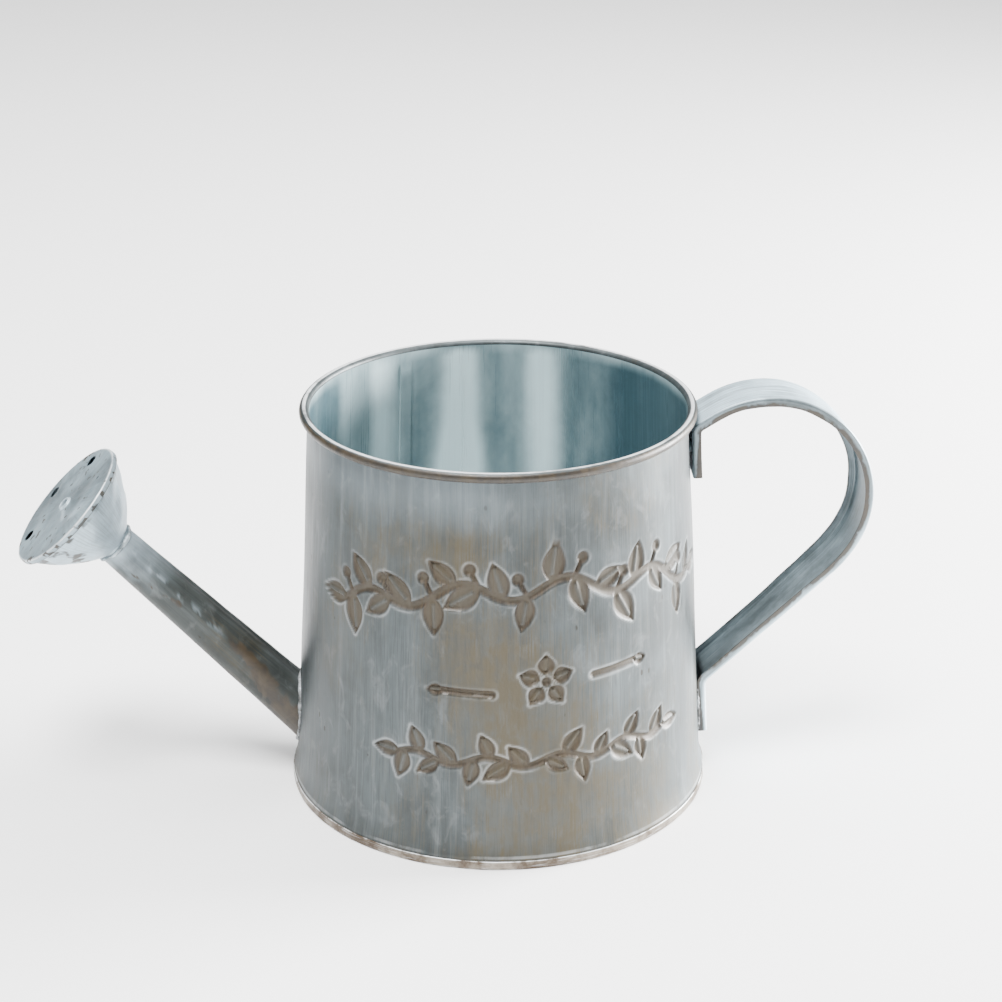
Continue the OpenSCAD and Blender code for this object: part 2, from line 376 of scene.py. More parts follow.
def zinc(name, shift, patina_low, patina_high, metal=0.55, streak=1.0, marks=False,
         tint=PALE, deep=GREY):
    """Whitewashed galvanised sheet: clouded blue-grey, brushed along the grain, brown where worn."""
    m = Nodes(name)
    cloud = m.noise(m.scaled(m.where, (60, 60, 45), shift), 1.0, 6, 0.62)
    spangle = m.noise(m.scaled(m.where, (260, 260, 160), shift), 1.0, 3, 0.6, 0.6)
    fine = m.noise(m.scaled(m.grain(), (2600, 70, 1), shift), 1.0, 3, 0.6)
    broad = m.noise(m.scaled(m.grain(), (420, 22, 1), shift), 1.0, 4, 0.6)
    colour = m.mix(m.span(cloud, 0.34, 0.66), deep, tint)
    colour = m.mix(m.times(m.span(broad, 0.45, 0.75), 0.38 * streak), colour, WASH)
    colour = m.mix(m.times(m.span(fine, 0.32, 0.58, 1.0, 0.0), 0.50 * streak), colour, STREAK)
    colour = m.mix(m.times(m.span(spangle, 0.52, 0.75), 0.05), colour, WORN)
    # brown patina, thickest where the mesh's patina value is high
    stain = m.noise(m.scaled(m.where, (34, 34, 24), shift), 1.0, 8, 0.68, 0.4)
    if marks:
        stain = m.plus(stain, m.times(m.attribute("patina"), 0.27))
    stain = m.plus(stain, m.times(m.minus(fine, 0.5), 0.55))
    brown = m.times(m.span(stain, patina_low, patina_high),
                    m.span(m.plus(broad, spangle), 0.75, 1.2, 0.45, 1.0))
    colour = m.mix(m.times(brown, 0.92), colour, BROWN)
    speck = m.times(m.span(m.spots(m.scaled(m.where, (1, 1, 0.55), shift), 330), 0.10, 0.17, 1, 0),
                    m.span(m.noise(m.where, 95, 2), 0.60, 0.66))
    colour = m.mix(m.times(speck, 0.8), colour, UMBER)
    rough = m.span(m.plus(fine, m.times(cloud, 0.6)), 0.5, 1.1, 0.36, 0.56)
    metallic = m.span(brown, 0.0, 1.0, metal, metal * 0.45)
    if marks:
        # the pressed ornament: a painted highlight on the lips, brown floors and dirt along the edges
        groove = m.attribute("groove")
        dirt = m.mix(m.span(fine, 0.35, 0.65), DIRT_DARK, DIRT_LIGHT)
        lip = m.times(m.attribute("lip"), m.span(cloud, 0.42, 0.62, 0.03, 0.22))
        colour = m.mix(lip, colour, WORN)
        colour = m.mix(m.times(groove, 0.78), colour, GROOVE)
        dirty = m.times(m.attribute("dirt"), m.span(cloud, 0.3, 0.62, 0.95, 0.6))
        colour = m.mix(dirty, colour, dirt)
        metallic = m.times(metallic, m.span(groove, 0.0, 1.0, 1.0, 0.4))
        rough = m.plus(rough, m.times(groove, 0.15))
    # painted shade, chalky, rubbed and soiled places, by the mesh's own values
    shade = m.mix(m.span(broad, 0.35, 0.65), SHADE_DARK, SHADE_LIGHT)
    colour = m.mix(m.times(m.attribute("shade"), m.span(cloud, 0.3, 0.6, 0.95, 0.7)), colour, shade)
    colour = m.mix(m.times(m.attribute("pale"), m.span(broad, 0.3, 0.7, 0.75, 1.0)), colour, CHALK)
    worn = m.times(m.attribute("worn"), m.span(cloud, 0.3, 0.6, 0.55, 1.15))
    colour = m.mix(m.span(worn, 0.25, 0.7), colour, WORN)
    soiled = m.span(m.times(m.attribute("soiled"),
                            m.span(m.plus(cloud, spangle), 0.75, 1.2, 0.35, 1.3)), 0.2, 0.8)
    colour = m.mix(m.times(soiled, 0.92), colour, m.mix(m.span(spangle, 0.35, 0.65), UMBER, SOIL))
    metallic = m.times(metallic, m.span(soiled, 0.0, 1.0, 1.0, 0.25))
    m.bump(m.plus(m.times(fine, 0.5), m.times(spangle, 0.5)), 0.00006, 0.8)
    return m.finish(colour, rough, metallic)


def bright_steel(name):
    """The inside: bluish steel with painted highlights and painted shade, set by a value on the mesh and
    broken by noise into soft upright bands.
    """
    m = Nodes(name)
    bands = m.noise(m.scaled(m.grain(), (75, 6, 1), (0.3, 0.1, 0)), 1.0, 3, 0.55)
    fine = m.noise(m.scaled(m.grain(), (1300, 22, 1)), 1.0, 3, 0.6)
    cloud = m.noise(m.scaled(m.where, (75, 75, 45)), 1.0, 5, 0.62, 0.3)
    # painted highlight and painted shade: the mesh's value and the noise move the steel from dark to the
    # highlight colour
    bright = m.plus(m.attribute("band"), m.times(m.minus(bands, 0.5), 0.55))
    bright = m.plus(bright, m.times(m.minus(cloud, 0.5), 0.45))
    colour = m.mix(m.span(bright, 0.0, 1.0), STEEL_DARK, STEEL_HIGHLIGHT)
    colour = m.mix(m.times(m.span(fine, 0.35, 0.55, 1, 0), 0.08), colour, STEEL_LINE)
    m.bump(fine, 0.00001, 0.4)
    return m.finish(colour, m.span(m.plus(fine, bands), 0.7, 1.3, 0.26, 0.40), 0.2)


def solder_metal(name, dull, pale):
    """Lumpy solder, clouded from dull to pale, with brown grit."""
    m = Nodes(name)
    cloud = m.noise(m.where, 420, 4, 0.6)
    grit = m.noise(m.where, 1500, 3, 0.6)
    colour = m.mix(m.span(cloud, 0.38, 0.62), dull, pale)
    colour = m.mix(m.times(m.span(grit, 0.58, 0.7), 0.6), colour, BROWN)
    m.bump(m.plus(cloud, grit), 0.00022, 0.9)
    return m.finish(colour, m.span(cloud, 0.3, 0.7, 0.6, 0.38), 0.35)


def foot_metal(name):
    """The crimped foot: dark brown skin, worn to bright zinc along its edges."""
    m = Nodes(name)
    cloud = m.noise(m.where, 130, 6, 0.65)
    fine = m.noise(m.scaled(m.grain(), (160, 2600, 1)), 1.0, 3, 0.6)
    colour = m.mix(m.span(cloud, 0.40, 0.66), FOOT_DARK, FOOT_LIGHT)
    colour = m.mix(m.times(m.span(fine, 0.55, 0.7), 0.35), colour, WORN)
    worn = m.times(m.attribute("worn"), m.span(cloud, 0.35, 0.6, 0.4, 1.2))
    colour = m.mix(m.span(worn, 0.3, 0.8), colour, WORN)
    m.bump(m.plus(cloud, fine), 0.00007, 0.8)
    return m.finish(colour, m.span(cloud, 0.35, 0.65, 0.62, 0.42), 0.45)


# ---------------- ornament
def leaf(u, v, base, angle, length, width):
    """Signed distance, about, to an almond-shaped leaf, and to its middle rib."""
    c, s = math.cos(angle), math.sin(angle)
    a = (u - base[0]) * c + (v - base[1]) * s
    p = -(u - base[0]) * s + (v - base[1]) * c
    t = np.clip(a / length, 0, 1)
    half = width / 2 * np.sin(math.pi * t ** 0.85) ** 0.9
    over = np.maximum(np.maximum(-a, a - length), 0)
    return np.hypot(np.maximum(np.abs(p) - half, 0), over) + np.minimum(np.abs(p) - half, 0), \
        np.where((a > 0.18 * length) & (a < 0.86 * length), np.abs(p), 9.0)


def stroke(u, v, points, half):
    """Signed distance to a polyline of that half-width."""
    best = np.full(u.shape, 1e9)
    for (x0, y0), (x1, y1) in zip(points[:-1], points[1:]):
        dx, dy = x1 - x0, y1 - y0
        t = np.clip(((u - x0) * dx + (v - y0) * dy) / (dx * dx + dy * dy), 0, 1)
        best = np.minimum(best, np.hypot(u - x0 - t * dx, v - y0 - t * dy))
    return best - half


def vine_line(x, centre, bow, wave, period):
    """Height of the wavy stem of a row at x; the row is highest in the middle by bow."""
    return centre - bow * (x / 51.0) ** 2 + wave * math.sin(2 * math.pi * x / period)


def ornament(u, v):
    """(distance to the nearest groove, distance to the nearest rib) of the pressed ornament."""
    groove = np.full(u.shape, 1e9)
    rib = np.full(u.shape, 1e9)

    def add(shape):
        d, r = shape if isinstance(shape, tuple) else (shape, None)
        np.minimum(groove, d, out=groove)
        if r is not None:
            np.minimum(rib, r, out=rib)

    rows = ((50.0, 69.6, 8.6, 2.4, 25.0, 9.8, 5.2, 5.6, 0.85),
            (33.5, 27.2, 0.0, 1.2, 16.8, 7.2, 3.9, 4.1, 0.65))
    for half, centre, bow, wave, period, long, wide, step, thick in rows:
        xs = np.arange(-half, half + 0.1, 0.85)
        line = [(x, vine_line(x, centre, bow, wave, period)) for x in xs]
        add(stroke(u, v, line, thick))
        count = int(2 * half / step)
        for k in range(count + 1):
            x = -half + (k + 0.35) * step
            if abs(x) > half - 0.3 * step:
                continue
            y = vine_line(x, centre, bow, wave, period)
            slope = math.atan2(vine_line(x + 0.5, centre, bow, wave, period)
                               - vine_line(x - 0.5, centre, bow, wave, period), 1.0)
            side = 1 if k % 2 else -1
            lean = math.radians(56) if x > 0 else math.radians(124)
            scale = 1.0 - 0.16 * ((k * 7) % 3) / 2
            add(leaf(u, v, (x, y), slope + side * lean, long * scale, wide * scale))
            if k % 2 == 0 and long > 8:
                end = (x + (2.3 if x > 0 else -2.3), y + 4.4)
                add(stroke(u, v, [(x, y), end], 0.4))
                add(np.hypot(u - end[0], v - end[1]) - 1.25)
        for sign in (-1, 1):
            tip = (sign * half, vine_line(sign * half, centre, bow, wave, period))
            add(leaf(u, v, tip, 0.0 if sign > 0 else math.pi, long * 0.9, wide * 0.9))
    centre = (1.0, 46.8)
    add(np.hypot(u - centre[0], v - centre[1]) - 0.95)
    for k in range(5):
        a = math.radians(90 + 72 * k)
        root = (centre[0] + 1.75 * math.cos(a), centre[1] + 1.75 * math.sin(a))
        add(leaf(u, v, root, a, 4.7, 3.7))
    for left, right, height in ((-23.0, -11.5, 44.6), (12.6, 24.2, 46.8)):
        add(stroke(u, v, [(left, height), (right, height + (0.6 if left > 0 else -0.4))], 0.65))
        bud = left if left < 0 else right
        add(leaf(u, v, (bud, height + (0.3 if left > 0 else 0.0)),
                 math.pi if left < 0 else 0.0, 3.6, 2.4))
    return groove, rib


# ---------------- the can's wall
def bead_path():
    """(r, z) of the curl: from the groove under the bead, out, over the top and down inside."""
    c = np.array([BEAD_CENTRE_R, BEAD_CENTRE_Z])
    under = [c + (WIRE_R + 0.02) * np.array([math.cos(a), math.sin(a)])
             for a in np.radians(np.arange(186, 246, 12))]
    over = [c + BEAD_R * np.array([math.cos(a), math.sin(a)])
            for a in np.radians(np.linspace(250, 540, 34))]
    return np.array(under + over)


def waves(azimuth, z):
    """How far the hand-worked wall strays from a true cone."""
    a = np.radians(azimuth)
    ends = smooth(6, 24, z) * smooth(97, 86, z)
    return ends * (0.10 * np.sin(3 * a + 0.05 * z) + 0.07 * np.sin(7 * a - 0.09 * z + 1.3)
                   + 0.05 * np.sin(11 * a + 0.13 * z + 0.4) - 0.12)


def wall_columns():
    """Azimuths of the wall's columns from the seam on, closest together across the ornament."""
    seam = SEAM_AZ + np.array([0, 0.35, SEAM_LAP / 2, SEAM_LAP - 0.06, SEAM_LAP + 0.06])
    back = np.linspace(SEAM_AZ + SEAM_LAP + 0.06, 217.0, 66)[1:-1]
    front = np.arange(-143.0, -17.9, 0.40)
    rest = np.linspace(-18.0, SEAM_AZ - 0.12, 92)[1:]
    return np.concatenate([seam, back, front + 360, rest + 360])


def patina_places(u, v):
    """Brown patina gathers in the middle of the front, round the ornament, and at the foot."""
    return (hump(u, -13, 17, v, 50, 16) + 0.85 * hump(u, -22, 15, v, 78, 9)
            + 0.75 * hump(u, -2, 16, v, 30, 24) + 0.4 * hump(u, 6, 20, v, 8, 12)
            + 0.3 * hump(u, 24, 16, v, 45, 30) + 0.3 * smooth(10, 3, v))


def polished_bands(azimuth, z):
    """Painted highlights and painted shade for the steel inside: bright upright bands, a bright patch
    about 61 mm up the back wall, and darker at about 10 to 60 degrees and round 172 degrees.
    """
    bands = sum(strength * hump(azimuth, at, wide) for at, wide, strength in
                ((99.8, 5.5, 0.95), (73.0, 5.5, 0.66), (128.0, 6.0, 0.40), (143.0, 6.0, 0.22),
                 (262.0, 9.0, 0.4), (318.0, 8.0, 0.35), (205.0, 7.0, 0.4)))
    return (bands + 0.7 * hump(azimuth, 101, 7, z, 61, 12) + 0.28
            - 0.30 * smooth(62, 40, azimuth) * smooth(-20, 10, azimuth) - 0.20 * hump(azimuth, 172, 26))


def make_wall(outside, inside, rim):
    """Wall, curl, flared foot, lap seam and pressed ornament in one shell."""
    az = wall_columns()
    az_short = np.where(az > 180, az - 360, az)
    n = len(az)
    foot = [0.45, 0.9, 1.6, 2.2, 2.8, 3.3, 4.0, 4.8, 5.7, 6.7, 7.8, 9.0, 10.5, 12.5, 15.0, 17.0]
    z_out = np.concatenate([foot, np.arange(18.0, 80.0, 0.40), [81.5, 84, 87, 90, 92.5, 94.5, 95.6]])
    z_in = np.concatenate([np.arange(94.0, 80.5, -1.6), np.arange(80.0, 18.0, -1.0), foot[::-1]])

    # the ornament, on the wall unrolled: u along it from the ornament's middle, v up it
    u = np.radians((az_short - ORNAMENT_AZ + 180) % 360 - 180) * ORNAMENT_R
    uu, vv = np.meshgrid(u, z_out)
    d, rib = ornament(uu, vv)
    deep = smooth(0.42, -0.42, d)
    deep *= 1 - 0.55 * smooth(0.75, 0.1, rib)
    deep_in = smooth(0.55, -0.35, ornament(*np.meshgrid(u, z_in))[0])

    aa, zz = np.meshgrid(az, z_out)
    lap = np.where((az >= SEAM_AZ) & (az < SEAM_AZ + 0.3), 0.22, 0.0)[None, :]
    r_out = outer_r(zz) + waves(aa, zz) - GROOVE_DEPTH * deep - lap * smooth(3, 6, zz)
    aa_in, zz_in = np.meshgrid(np.where(az >= 360, az - 360, az), z_in)
    in_lap = (az >= SEAM_AZ) & (az <= SEAM_AZ + SEAM_LAP)
    strip = np.where(in_lap[None, :] & (zz_in > FLARE_Z) & (zz_in < 94.0), SHEET, 0.0)
    r_in = outer_r(zz_in) + waves(aa_in, zz_in) - SHEET - GROOVE_DEPTH * deep_in - strip

    curl = bead_path()
    r_curl, z_curl = (np.repeat(curl[:, k][:, None], n, axis=1) for k in (0, 1))
    r = np.vstack([r_out, r_curl, r_in])
    z = np.vstack([zz, z_curl, zz_in])
    a = np.radians(az)[None, :]
    pts = np.stack([r * np.cos(a), r * np.sin(a), z], axis=2).reshape(-1, 3)
    faces, corners = grid(len(r), n, wrap_rows=True, wrap_cols=True)
    along = np.concatenate([[0], np.cumsum(np.hypot(np.diff(r[:, 0]), np.diff(z[:, 0]))), [240]])
    around = np.concatenate([np.radians(az - az[0]) * ORNAMENT_R, [2 * math.pi * ORNAMENT_R]])
    row_of = corners[0][0]
    last_out, last_curl = len(z_out) - 1, len(z_out) + len(curl) - 1
    kinds = np.where(row_of < last_out, 0, np.where(row_of < last_curl, 2, 1)).astype(int)

    def values(out, curl_value=0.0, inner=0.0):
        """One mark's values on all points: those outside, on the curl and inside."""
        return np.vstack([out + 0 * zz, curl_value + 0 * r_curl, inner + 0 * zz_in])

    curl_up = (z_curl - BEAD_CENTRE_Z) / BEAD_R
    curl_out = (r_curl - BEAD_CENTRE_R) / BEAD_R
    foot_line = smooth(2.0, 2.7, zz) * smooth(4.4, 3.2, zz)
    chalky = 0.15 * smooth(80, 92, vv) * smooth(14, -20, uu) \
        + 0.03 * smooth(22, 48, uu) * smooth(80, 60, uu)
    marks = {
        "groove": values(deep),
        # painted highlight along the lips of the grooves
        "lip": values(hump(d, 0.55, 0.32) * (1 - deep)),
        "dirt": values(hump(d, -0.12, 0.30)),
        "patina": values(patina_places(uu, vv)),
        "worn": values(0.32 * foot_line, 0.75 * smooth(0.88, 0.98, curl_up)),
        "pale": values(chalky),
        "soiled": values(0.45 * smooth(94.6, 95.6, zz) + 0.6 * smooth(2.4, 1.2, zz),
                         1.7 * smooth(0.93, 0.6, curl_up) * smooth(-0.3, 0.25, curl_out),
                         smooth(5, 1, zz_in)),
        # painted highlights and painted shade on the steel inside
        "band": values(0.0, 0.4, polished_bands(aa_in, zz_in)),
    }
    obj = build("can_wall", pts, faces, [outside, inside, rim], "body_wall",
                grid_uvs(corners, along, around), marks, kinds)
    bake_boolean(obj, [cutter(WALL_HOLE_R, 14, spout_matrix(0))])


def make_wire(material):
    """The wire that the rim is curled round."""
    ring = np.array([[BEAD_CENTRE_R + (WIRE_R - CLEAR) * math.cos(a),
                      BEAD_CENTRE_Z + (WIRE_R - CLEAR) * math.sin(a)]
                     for a in np.linspace(0, 2 * math.pi, 13)[:-1]])
    pts, faces, uvs = revolve(outward(ring), 120)
    build("rim_core_wire", pts, faces, [material], "rim_wire", uvs)


def make_base(material, inside):
    """The base pan with its edge folded round the wall's foot, bright steel on its inner side."""
    r, s, c = FOOT_R, SHEET, CLEAR
    disc = PAN_LIFT
    outline = [(0.01, disc + s), (20, disc + s), (r - 3 * s, disc + s), (r - 3 * s + c, disc + s),
               (r - 2 * s - c, disc + s), (r - 2 * s - c, s + c), (r - s + c, s + c),
               (r - s + c, FOOT_HEIGHT), (r, FOOT_HEIGHT), (r, 0), (r - 3 * s, 0),
               (r - 3 * s, disc), (20, disc), (0.01, disc)]
    radii = [0, 0, 0, 0, 0.1, 0.1, 0.1, 0.12, 0.3, 0.45, 0.35, 0.5, 0, 0]
    profile = outward(rounded(outline, radii, 3))
    p, faces, uvs = revolve(profile, 240, start=SEAM_AZ)
    edge = smooth(r - 0.5, r - 0.1, np.hypot(p[:, 0], p[:, 1]))
    lump = perlin(p, 9.0, 3.1, 2)
    p[:, :2] *= (1 - edge * 0.0028 * np.clip(0.5 + lump, 0, 1))[:, None]
    worn = edge * (0.45 * smooth(0.7, 0.2, p[:, 2]) + 0.6 * smooth(1.9, 2.15, p[:, 2]))
    middle = p[faces].mean(axis=1)
    top_side = (middle[:, 2] > disc + s / 2) & (np.hypot(middle[:, 0], middle[:, 1]) < r - 2 * s)
    # the pan's inner side takes one even level of the inside's painted highlight
    build("foot_pan", p, faces, [material, inside], "base_pan", uvs,
          {"worn": worn, "band": np.full(len(p), 0.34)}, top_side.astype(int))


# ---------------- spout
def spout_matrix(distance):
    """From the spout's own frame (Z along it) to the row frame, in mm, distance from the wall."""
    root = Matrix.Translation((-wall_r(SPOUT_ROOT_Z), 0, SPOUT_ROOT_Z))
    return root @ Matrix.Rotation(math.radians(SPOUT_ANGLE - 90), 4, "Y") @ Matrix.Translation(
        (0, 0, distance))


def rose_matrix():
    """From the rose's own frame (Z out through its face) to the row frame, in mm."""
    return spout_matrix(SPOUT_LENGTH) @ Matrix.Rotation(math.radians(ROSE_LEAN), 4, "X")


def placed(points, matrix):
    """points as an array, moved by the matrix."""
    m = np.array(matrix)
    return np.asarray(points) @ m[:3, :3].T + m[:3, 3]


def spout_r(t):
    """Outer radius of the spout at distance t along it."""
    return SPOUT_ROOT_R - (SPOUT_ROOT_R - SPOUT_TIP_R) * t / SPOUT_LENGTH


def wall_reach(angle, grow):
    """Distance along the spout at which a line of its surface leaves the wall."""
    m = np.array(spout_matrix(0))
    low, high = -14.0, 14.0
    for _ in range(40):
        mid = (low + high) / 2
        r = spout_r(mid) + grow
        p = m[:3, :3] @ np.array([r * math.cos(angle), r * math.sin(angle), mid]) + m[:3, 3]
        if math.hypot(p[0], p[1]) < wall_r(p[2]):
            low = mid
        else:
            high = mid
    return low


def spout_marks(p, rows_outside):
    """Soil and chalk on the spout: an irregular brown patch down the near flank, a dark line
    above it, soil under and at the root, and painted glints high on the near flank, carried with the
    chalk. p holds the points in the spout's own frame."""
    t, side, upper = p[:, :, 2], p[:, :, 1] / 6.0, p[:, :, 0] / 6.0
    outside = np.zeros_like(t)
    outside[:rows_outside] = 1
    ragged = perlin(p.reshape(-1, 3), 3.2, 6.1, 4).reshape(t.shape)
    near = smooth(0.1, -0.5, side)
    middle = np.interp(t, [0, 4, 14, 25, 34], [-0.45, -0.3, 0.2, 0.45, 0.5]) + 0.25 * ragged
    wide = np.interp(t, [0, 6, 20, 30], [0.55, 0.42, 0.24, 0.12])
    patch = hump(upper, middle, wide) * smooth(31, 20, t + 6 * ragged)
    line_at = np.interp(t, [38, 46, 60], [0.1, 0.0, -0.5]) + 0.2 * ragged
    line = hump(upper, line_at, 0.09) * smooth(36, 42, t) * smooth(60, 55, t) \
        * smooth(-0.1, 0.25, ragged)
    soiled = outside * (near * (1.5 * patch + 0.9 * line) + 0.45 * smooth(-0.55, -0.9, upper)
                        + 0.35 * smooth(40, 10, t) * smooth(0.3, -0.6, upper)
                        + 0.8 * smooth(2.5, 0, t))
    chalky = smooth(42, 62, t) ** 1.3 * np.clip(0.36 + 0.35 * upper + 0.25 * ragged, 0, 1)
    # painted glints: pale specks high on the near flank, where highlights fall
    painted_glint = hump(upper, 0.42, 0.1) * smooth(24, 34, t) * smooth(0.05, 0.4, ragged)
    pale = outside * (chalky + 0.35 * near * painted_glint + 0.35 * smooth(57, 61, t))
    return {"soiled": soiled, "pale": np.clip(pale, 0, 1)}


def make_spout(material):
    """The tapered tube, cut to the wall at its root."""
    n = 72
    angles = np.arange(n) * 2 * math.pi / n + math.pi / 2
    tip = SPOUT_LENGTH + SPOUT_IN_ROSE
    steps = np.linspace(0, 1, 90)

    def skin(depth):
        """The surface that lies depth inside the tube's outside, from where it leaves the wall."""
        lines = []
        for a in angles:
            root = wall_reach(a, -depth)
            t = root + steps * (tip - root)
            r = spout_r(t) - depth
            lines.append(np.stack([r * math.cos(a), r * math.sin(a), t], axis=1))
        return np.array(lines).transpose(1, 0, 2)

    outer, inner = skin(0.01), skin(SHEET)[::-1]
    # the tube's lapped seam, and the small dents of hand work
    angle_row = np.degrees(angles) % 360
    seam = np.where((angle_row > 348) | (angle_row < 2), 0.16, 0.0)
    dent = perlin(outer.reshape(-1, 3), 11.0, 1.7, 2).reshape(len(steps), n)
    ends = (smooth(0.0, 0.05, steps) * smooth(1.0, 0.93, steps))[:, None]
    shrink = 1 - ends * (0.018 * np.clip(dent + 0.5, 0, 1) + seam[None, :] / 5.5)
    outer[:, :, :2] *= shrink[:, :, None]
    both = np.concatenate([outer, inner])
    faces, corners = grid(len(both), n, wrap_rows=True, wrap_cols=True)
    along = np.concatenate([both[:, 0, 2], [0]])
    around = np.arange(n + 1) * 2 * math.pi * 5.8 / n
    build("spout_tube_piece", placed(both.reshape(-1, 3), spout_matrix(0)), faces, [material],
          "spout_tube", grid_uvs(corners, along, around), spout_marks(both, len(steps)))


def lumpy_ring(name, centres, outs, radius, material, node, seed, rough=0.2, matrix=Matrix()):
    """A ring of solder: a tube of uneven radius round the closed line of centres."""
    n, sides = len(centres), 14
    pts = []
    for i in range(n):
        tangent = centres[(i + 1) % n] - centres[i - 1]
        tangent /= np.linalg.norm(tangent)
        out = outs[i] - tangent * np.dot(outs[i], tangent)
        out /= np.linalg.norm(out)
        side = np.cross(tangent, out)
        for k in range(sides):
            a = 2 * math.pi * k / sides
            pts.append(centres[i] + radius[i] * (math.cos(a) * out + math.sin(a) * side))
    pts = np.array(pts)
    mid = np.repeat(centres, sides, axis=0)
    lump = perlin(pts, 1.5, seed, 2)
    pts = mid + (pts - mid) * (1 + rough * lump)[:, None]
    faces, corners = grid(n, sides, wrap_rows=True, wrap_cols=True, flip=True)
    uvs = grid_uvs(corners, np.arange(n + 1.0), np.arange(sides + 1.0))
    build(name, placed(pts, matrix), faces, [material], node, uvs)


def make_spout_solder(material):
    """The bead where the spout meets the wall."""
    n = 140
    m = spout_matrix(0)
    centres, outs, radius = [], [], []
    for i in range(n):
        a = 2 * math.pi * i / n
        t = wall_reach(a, 0.0)
        p = placed([[spout_r(t) * math.cos(a), spout_r(t) * math.sin(a), t]], m)[0]
        radial = np.array([p[0], p[1], 0]) / math.hypot(p[0], p[1])
        away = np.array(m)[:3, :3] @ np.array([math.cos(a), math.sin(a), 0])
        centres.append(p + 0.05 * away)
        outs.append(radial + away)
        # the solder is thin at the top of the joint, where a dark gap shows
        top = hump(a, 0.15, 0.33) + hump(a, 0.15 + 2 * math.pi, 0.33)
        size = 0.50 + 0.16 * math.sin(5 * a + 1) * math.sin(3 * a) + 0.07 * math.sin(13 * a)
        radius.append(size * (1 - 0.8 * min(top, 1)))
    lumpy_ring("spout_root_solder", np.array(centres), np.array(outs), radius, material,
               "spout_solder", seed=4.2)


# ---------------- rose
def bell_curve():
    """The centre of the bell's arc, and (r, z) along its outside from the neck to the face."""
    a = np.array([SPOUT_TIP_R - 0.1, 0.0])
    b = np.array([ROSE_R - SHEET, ROSE_DEPTH - SHEET - 0.5])
    m, h = (a + b) / 2, np.linalg.norm(b - a) / 2
    u = (b - a) / (2 * h)
    c = m + math.sqrt(BELL_RADIUS ** 2 - h * h) * np.array([-u[1], u[0]])
    start = math.atan2(a[1] - c[1], a[0] - c[0])
    stop = math.atan2(b[1] - c[1], b[0] - c[0])
    return c, np.array([c + BELL_RADIUS * np.array([math.cos(t), math.sin(t)])
                        for t in np.linspace(start, stop, 34)])


def make_bell(material):
    """The cupped back of the rose, pitted and soiled on its low side."""
    centre, outer = bell_curve()
    away = (outer - centre) / BELL_RADIUS
    inner = outer - SHEET * away
    inner[0] = [outer[0][0] - SHEET, outer[0][1] + 0.1]
    edge = ROSE_DEPTH - SHEET - 0.03
    profile = np.vstack([outer, [[ROSE_R - SHEET - 0.03, edge - 0.1]],
                         [[ROSE_R - SHEET - 0.1, edge]], [[ROSE_R - 2 * SHEET, edge]], inner[::-1]])
    profile = outward(profile)
    pts, faces, uvs = revolve(profile, 128, start=90)
    r = np.hypot(pts[:, 0], pts[:, 1])
    lump = perlin(pts, 5.5, 7.7, 2)
    amount = smooth(5.5, 8, r) * smooth(17.1, 15.6, r)
    pts[:, :2] *= (1 - amount * 0.034 * np.clip(lump + 0.4, 0, 1))[:, None]
    low_side = smooth(-0.25, 0.7, -pts[:, 0] / 15)
    pitted = perlin(pts, 2.6, 8.4, 3)
    soiled = 1.3 * low_side * smooth(4, 10, r) * smooth(-0.1, 0.4, pitted) \
        + 0.55 * smooth(15.4, 15.9, r) * smooth(-0.3, 0.2, pitted)
    pale = 0.75 * smooth(9.5, 5.2, r) + 0.5 * smooth(0.3, -0.3, pitted) * smooth(0.5, -0.2, low_side)
    build("rose_back", placed(pts, rose_matrix()), faces, [material],
          "rose_bell", uvs, {"soiled": soiled, "pale": pale})


